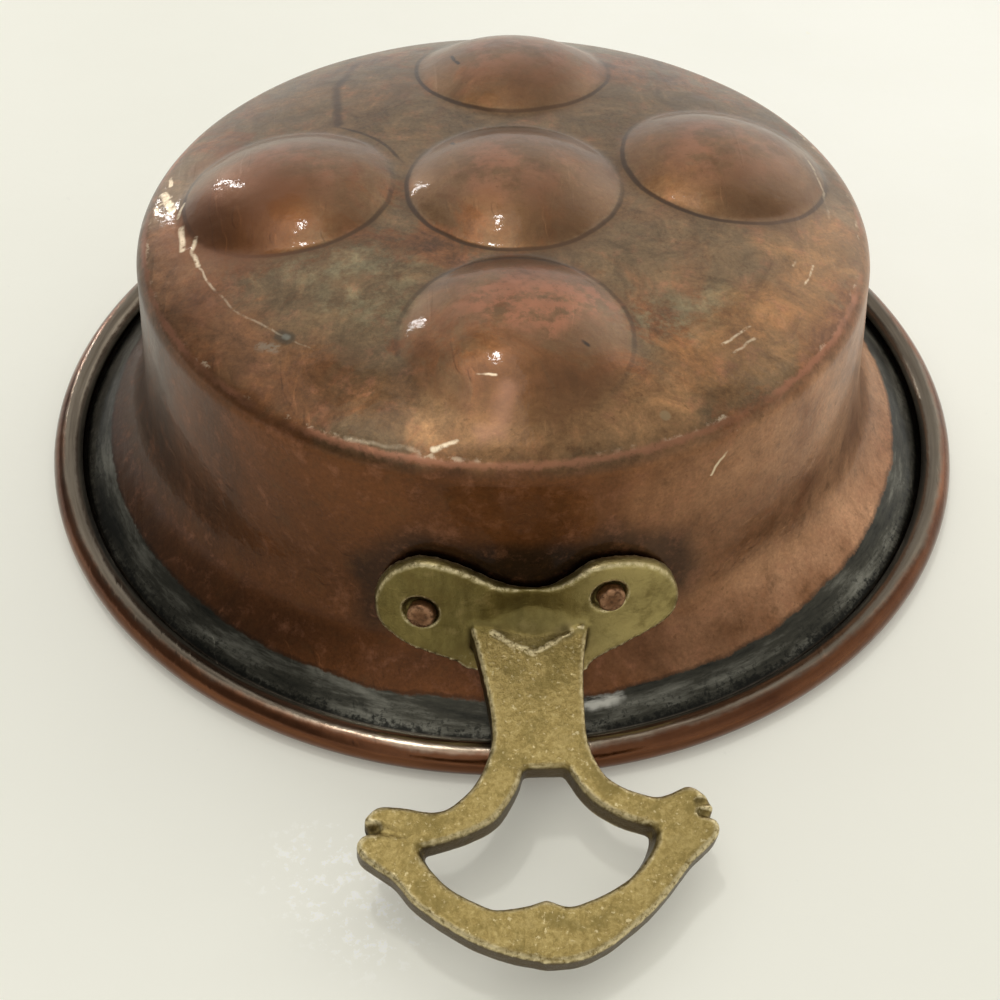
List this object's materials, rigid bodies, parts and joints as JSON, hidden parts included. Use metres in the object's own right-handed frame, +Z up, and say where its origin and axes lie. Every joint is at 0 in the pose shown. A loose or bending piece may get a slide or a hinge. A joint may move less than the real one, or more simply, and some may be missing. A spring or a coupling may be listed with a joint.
{
  "type": "escargot pan",
  "caption": "Round tin-lined copper pan with pressed snail wells, a rolled wired rim and a riveted cast brass loop handle, resting upside down on its rim.",
  "frame": {"origin": "middle of the footprint of pan and handle, on the table that the rim rests on", "axes": "+Z up through the base of the upturned pan, -Y along the handle away from the pan, +X to the right seen from the handle's end"},
  "size_m": [0.17, 0.2064, 0.0586],
  "materials": {
    "copper_shell": "tarnished brown copper, worn pink on the high spots",
    "iron_wire": "dark drawn iron",
    "tin_lining": "dull grey wiped tin",
    "cast_brass": "olive gold, sand-cast grain with worn bright edges",
    "copper_rivet": "dull peened copper"
  },
  "bodies": {
    "root": {"pan_shell": "copper_shell", "rim_wire": "iron_wire", "tin_lining": "tin_lining", "handle": "cast_brass", "rivet_left": "copper_rivet", "rivet_right": "copper_rivet"}
  },
  "joints": []
}
